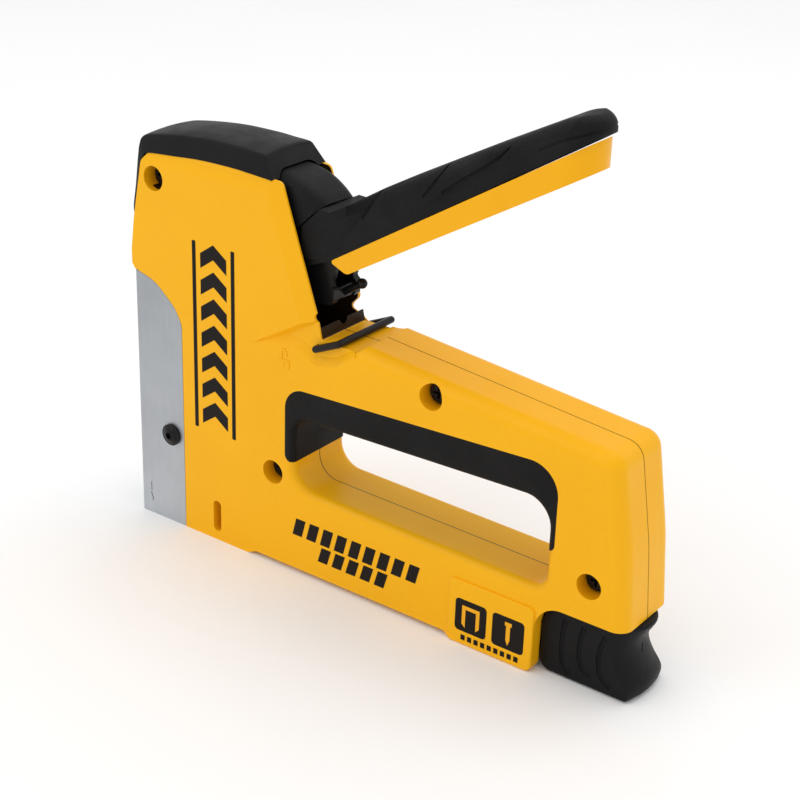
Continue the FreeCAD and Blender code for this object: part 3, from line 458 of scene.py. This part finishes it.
def cap_profile(low_half, crease_half, height, crown, soft):
    """Cross-section (y, height) of the cap: drafted sides, soft creases and a crowned top."""
    left = [(-low_half, 0.0)]
    side = Vector((low_half - crease_half, height)).normalized() * soft
    start, corner, end = (Vector((-crease_half, height)) - side, Vector((-crease_half, height)),
                          Vector((-crease_half + soft, height + crown * 0.18)))
    for k in range(7):
        t = k / 6
        left.append(tuple(start * (1 - t) ** 2 + corner * 2 * t * (1 - t) + end * t * t))
    top_half = crease_half - soft
    for k in range(1, 7):
        t = k / 6
        left.append((-top_half * (1 - t), height + crown * (0.18 + 0.82 * (1 - (1 - t) ** 2))))
    return left + [(-y, h) for y, h in left[-2::-1]]


def top_cap():
    """Cap over the head: a lofted skin with drafted sides and a crowned top, arched over the hub."""
    # from the rear to the foot of the front tongue:
    # inner x z, crease x z, half width low and at the crease, crown, softness of the crease
    stations = [
        (60.3, 136.0, 56.4, 142.2, 13.4, 11.3, 0.5, 0.7), (58.8, 136.15, 55.3, 142.9, 13.4, 11.2, 0.9, 0.9),
        (51.6, 136.5, 50.2, 143.0, 13.4, 11.2, 1.2, 0.9), (43.0, 136.8, 42.6, 143.2, 13.4, 11.2, 1.4, 0.9),
        (30.0, 136.5, 29.2, 142.9, 13.4, 11.2, 1.4, 0.9), (18.0, 135.4, 16.6, 141.6, 13.4, 11.3, 1.2, 0.9),
        (9.0, 134.6, 6.4, 140.0, 13.5, 11.4, 0.8, 0.9), (6.0, 133.9, 2.8, 138.6, 13.6, 11.6, 0.5, 0.9),
        (4.8, 132.6, 1.9, 136.4, 13.65, 12.2, 0.3, 0.9), (3.9, 130.2, 1.5, 131.4, 13.7, 12.9, 0.2, 0.9),
        (2.4, 122.4, 0.4, 122.4, 13.7, 13.1, 0.15, 0.9), (1.0, 115.0, -0.9, 115.0, 13.7, 13.1, 0.1, 0.9),
        (0.7, 111.9, -0.9, 111.9, 13.4, 12.9, 0.0, 0.6), (0.65, 111.55, -0.4, 111.55, 13.2, 12.8, 0.0, 0.4),
    ]
    build = bmesh.new()
    rings = []
    for ix, iz, cx, cz, low_half, crease_half, crown, soft in spline_points(stations, 120):
        rise = Vector((cx - ix, 0, cz - iz))
        up = rise.normalized()
        soft = min(soft, rise.length * 0.6)
        rings.append([build.verts.new(P(ix + up.x * h, y, iz + up.z * h))
                      for y, h in cap_profile(low_half, crease_half, rise.length, crown, soft)])
    for a, b in zip(rings, rings[1:]):
        count = len(a)
        for i in range(count):
            build.faces.new((a[i], b[i], b[(i + 1) % count], a[(i + 1) % count]))
    build.faces.new(rings[0])
    build.faces.new(rings[-1][::-1])
    cap = finish_piece("cap_top", build, BLACK_PLASTIC, "housing", ("top_cap",), 40)
    arch = bmesh.new()
    lathe(arch, [(2.0, -LEVER_HALF - 0.5)] + crested(HUB_R + 0.6, LEVER_HALF + 0.5, HUB_CREST)
          + [(2.0, LEVER_HALF + 0.5)], 0, 360, 180)
    bmesh.ops.recalc_face_normals(arch, faces=arch.faces)
    mesh = bpy.data.meshes.new("cutter")
    arch.to_mesh(mesh)
    arch.free()
    cutter = bpy.data.objects.new("cutter", mesh)
    bpy.context.scene.collection.objects.link(cutter)
    carve(cap, cutter)
    smooth(cap, 40)


KNOB_FRONT, KNOB_HALF, KNOB_LOW, KNOB_TOP = 166.8, 10.65, 0.4, 24.8


def magazine_knob():
    """Knob of the magazine slide: scooped rear with a thumb lip that follows the handle's round foot."""
    # height, rear x on the centre plane and at the sides,
    # and how square the rear is in plan (1 parabola, 0.5 ellipse)
    levels = [
        (0.4, 199.3, 197.6, 1.0), (2.0, 200.5, 198.5, 1.0), (4.6, 200.4, 198.0, 0.95),
        (8.0, 198.6, 195.4, 0.9), (11.5, 197.1, 193.2, 0.8), (15.0, 196.5, 191.6, 0.7),
        (18.5, 196.9, 190.6, 0.62), (21.5, 198.4, 190.0, 0.55), (23.6, 199.5, 189.6, 0.52),
        (24.8, 199.4, 189.5, 0.52),
    ]
    build = bmesh.new()
    rings = []
    for z, middle, side, square in spline_points(levels, 64):
        z = min(max(z, KNOB_LOW), KNOB_TOP)
        low, high = z - KNOB_LOW, KNOB_TOP - z
        inset = 0.9 - math.sqrt(0.81 - (0.9 - low) ** 2) if low < 0.9 else 0.0
        inset += 0.5 - math.sqrt(0.25 - (0.5 - high) ** 2) if high < 0.5 else 0.0
        front = KNOB_FRONT + inset * 0.2
        front += 8.6 - math.sqrt(8.6 ** 2 - (8.6 - high) ** 2) if high < 8.6 else 0.0
        front += 4.6 - math.sqrt(4.6 ** 2 - (4.6 - low) ** 2) if low < 4.6 else 0.0
        half = KNOB_HALF - inset
        ring = [(front, -half + 0.8), (front + 0.25, -half + 0.25), (front + 0.8, -half)]
        ring += [(front + 0.8 + (side - front - 1.6) * k / 6, -half) for k in range(1, 7)]
        for k in range(41):
            turn = math.radians(-90 + 180 * k / 40)
            bulge = (middle - side - inset) * math.cos(turn) ** (2 * square)
            ring.append((side + bulge, half * math.sin(turn)))
        ring += [(front + 0.8 + (side - front - 1.6) * k / 6, half) for k in range(6, 0, -1)]
        ring += [(front + 0.8, half), (front + 0.25, half - 0.25), (front, half - 0.8)]
        rings.append([build.verts.new(P(x, y, z)) for x, y in ring])
    for a, b in zip(rings, rings[1:]):
        for i in range(len(a)):
            build.faces.new((a[i], b[i], b[(i + 1) % len(a)], a[(i + 1) % len(a)]))
    build.faces.new(rings[0])
    build.faces.new(rings[-1][::-1])
    bmesh.ops.remove_doubles(build, verts=build.verts, dist=1e-6)
    knob = finish_piece("knob_skin", build, BLACK_PLASTIC, "magazine_slide",
                        ("magazine_knob",), 40)
    grooves = [[(175.4, 21.0), (174.6, 17.0), (174.4, 11.0), (175.2, 5.0), (176.6, 3.2), (178.6, 2.9)],
               [(182.0, 21.0), (180.9, 17.0), (180.6, 11.5), (181.6, 6.8), (183.2, 5.2), (185.2, 4.9)],
               [(189.4, 20.6), (187.8, 16.0), (187.5, 11.0), (188.3, 6.6), (190.2, 4.2), (192.4, 3.5)]]
    for line in grooves:
        for side in (-1, 1):
            carve(knob, tube([P(x, side * (KNOB_HALF + 0.15), z) for x, z in line], 0.85 * MM))
    scoop_mark = [(199.0, 0.9, 19.4), (196.9, 0.2, 17.6), (196.4, 0.0, 15.0), (197.0, 0.1, 12.0),
                  (199.6, 0.5, 9.6)]
    carve(knob, tube([P(*point) for point in scoop_mark], 0.30 * MM))
    smooth(knob, 40)


# ---------------------------------------------------------------- printed and embossed marks

INK = 0.05               # how far printing stands off the paint, mm
PAD_SIDE = -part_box("left_housing")[0].y / MM     # half width over the raised pads


def printed(name, shapes, face, material, sides=(-1, 1)):
    """Polygons (x, z) printed on both side faces at |y| = face."""
    build = bmesh.new()
    for side in sides:
        for corners in shapes:
            prism(build, corners, side * (face - 0.2), side * (face + INK))
    return finish_piece(name, build, material, "housing")


def slanted(x0, x1, z0, z1, lean):
    """A bar that leans: its top is moved along x by lean."""
    return [(x0, z0), (x1, z0), (x1 + lean, z1), (x0 + lean, z1)]


def side_stripes():
    bars = [rounded_rect(26.4, 41.5, 28.0, 109.0, 0.3, 2), rounded_rect(43.3, 41.5, 44.9, 109.0, 0.3, 2)]
    printed("marks_stripes", bars, SIDE, BLACK_INK)


def chevrons():
    """Column of plain chevrons between the stripes."""
    shapes = []
    pitch, thick, rise = 9.4, 5.2, 4.0
    x0, x1, middle = 30.0, 41.4, 35.7
    for k in range(7):
        z = 43.6 + k * pitch
        lower = [(x0, z), (middle, z + rise), (x1, z)]
        shapes.append(lower + [(x, height + thick) for x, height in lower[::-1]])
    printed("marks_chevrons", shapes, SIDE, BLACK_INK)


def foot_dashes():
    """Rows of leaning dashes along the foot."""
    shapes = []
    for z, x, x_stop, height in [(14.6, 70.0, 120.0, 6.4), (8.0, 81.0, 108.0, 5.6)]:
        while x < x_stop:
            shapes.append(slanted(x, x + 4.0, z, z + height, 1.6))
            x += 5.9
    printed("marks_dashes", shapes, SIDE, BLACK_INK)


def pictograms():
    """Two black tiles on the rear pad, one with a staple and one with a nail."""
    tiles = [rounded_rect(137.8, 5.2, 149.6, 16.8, 1.4), rounded_rect(151.8, 5.2, 163.6, 16.8, 1.4)]
    printed("pad_tiles", tiles, PAD_SIDE, BLACK_INK)
    staple = [[(140.4, 13.4), (147.0, 13.4), (147.0, 14.7), (140.4, 14.7)],
              [(140.4, 8.0), (141.7, 6.7), (141.7, 13.4), (140.4, 13.4)],
              [(147.0, 8.0), (145.7, 6.7), (145.7, 13.4), (147.0, 13.4)]]
    nail = [[(156.5, 13.7), (159.0, 13.7), (159.0, 15.0), (156.5, 15.0)],
            [(157.0, 13.7), (157.0, 8.6), (157.75, 6.7), (158.5, 8.6), (158.5, 13.7)]]
    build = bmesh.new()
    for side in (-1, 1):
        for corners in staple + nail:
            prism(build, corners, side * PAD_SIDE, side * (PAD_SIDE + 2 * INK))
    finish_piece("pad_signs", build, YELLOW_INK, "housing")


def code_dashes():
    """Row of short dashes under the tiles on the rear pad."""
    shapes = [slanted(140.3 + 2.5 * k, 141.9 + 2.5 * k, 2.0, 3.9, 0.0) for k in range(9)]
    printed("pad_dashes", shapes, PAD_SIDE, BLACK_INK)


def padlock():
    """Small padlock raised from the casting beside the lever lock."""
    build = bmesh.new()
    sunk, proud, key_proud = 0.2, 0.22, 0.34
    prism(build, rounded_rect(63.6, 74.2, 68.2, 77.6, 0.5, 3), -SIDE - proud, -SIDE + sunk)
    prism(build, rounded_rect(65.5, 75.0, 66.3, 76.6, 0.3, 2), -SIDE - key_proud, -SIDE + sunk)
    arch = [(64.6, 77.7), (64.6, 80.0)]
    for turn in range(15, 180, 15):
        angle = math.radians(turn)
        arch.append((65.9 - 1.3 * math.cos(angle), 80.0 + 1.3 * math.sin(angle)))
    arch += [(67.2, 80.0), (67.2, 78.9)]
    inner = [(65.9 + (x - 65.9) * 0.48, z if z < 80.0 else 80.0 + (z - 80.0) * 0.48) for x, z in arch]
    prism(build, arch + inner[::-1], -SIDE - proud, -SIDE + sunk)
    finish_piece("lock_sign", build, SIGN_YELLOW, "housing")


def nose_mark():
    """Fine scribed tick low on the nose cover's left side."""
    shapes = [[(4.4, 9.0), (4.62, 9.0), (4.62, 12.4), (4.4, 12.4)],
              [(4.1, 8.2), (4.32, 8.3), (5.2, 5.9), (5.1, 4.9), (4.86, 4.9), (4.96, 5.8)]]
    printed("nose_tick", shapes, SIDE, BLACK_STEEL, (-1,))


# ---------------------------------------------------------------- stage, light and camera


def stage():
    floor = bmesh.new()
    bmesh.ops.create_grid(floor, x_segments=2, y_segments=2, size=3.0)
    mesh = bpy.data.meshes.new("floor")
    floor.to_mesh(mesh)
    floor.free()
    plane = bpy.data.objects.new("floor", mesh)
    bpy.context.scene.collection.objects.link(plane)
    plane.location.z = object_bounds()[0][2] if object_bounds()[0][2] < 0 else 0.0
    material, tree, shader = new_material("floor_white")
    tree.links.new(ramp(tree, noise(tree, 8, 3, 0.5), grey(0.955), grey(0.965)), shader.inputs["Base Color"])
    shader.inputs["Roughness"].default_value = 0.9
    plane.data.materials.append(material)
    plane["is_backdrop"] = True
    world = bpy.data.worlds.new("studio")
    world.use_nodes = True
    world.node_tree.nodes["Background"].inputs["Color"].default_value = (1, 1, 1, 1)
    world.node_tree.nodes["Background"].inputs["Strength"].default_value = 0.86
    bpy.context.scene.world = world
    for name, place, size, energy in (
            ("key", (-0.55, -0.9, 0.95), 0.9, 2.2), ("top", (0.1, 0.2, 1.2), 1.0, 2.9),
            ("back", (0.5, 0.9, 0.7), 0.8, 0.6)):
        light = bpy.data.lights.new(name, "AREA")
        light.shape = "DISK"
        light.size = size
        light.energy = energy
        lamp = bpy.data.objects.new(name, light)
        bpy.context.scene.collection.objects.link(lamp)
        lamp.location = place
        aim = Vector((0.09, 0, 0.08)) - Vector(place)
        lamp.rotation_euler = aim.to_track_quat("-Z", "Y").to_euler()
    bpy.context.scene.view_settings.view_transform = "Standard"


def camera():
    """Viewpoint beside and above the tool, turned a little. Lengths in mm from the nose."""
    azimuth, height, roll = math.radians(35.769), math.radians(24.873), math.radians(2.004)
    back = Vector((math.sin(azimuth) * math.cos(height), -math.cos(azimuth) * math.cos(height),
                   math.sin(height)))
    right = Vector((math.cos(azimuth), math.sin(azimuth), 0))
    up = back.cross(right)
    turned_right = right * math.cos(roll) + up * math.sin(roll)
    turned_up = up * math.cos(roll) - right * math.sin(roll)
    to_right, to_top, distance = 84.481, 34.554, 634.129
    place = (turned_right * to_right + turned_up * to_top + back * distance) * MM
    data = bpy.data.cameras.new("camera")
    data.sensor_width = 36
    data.lens = 77.51
    data.clip_start = 0.01
    eye = bpy.data.objects.new("camera", data)
    bpy.context.scene.collection.objects.link(eye)
    eye.matrix_world = Matrix.Translation(P(0, 0, 0) + place) @ Matrix(
        (turned_right, turned_up, back)).transposed().to_4x4()
    bpy.context.scene.camera = eye


lever_grip()
hub()
top_cap()
magazine_knob()
side_stripes()
chevrons()
foot_dashes()
pictograms()
code_dashes()
padlock()
nose_mark()
stage()
camera()
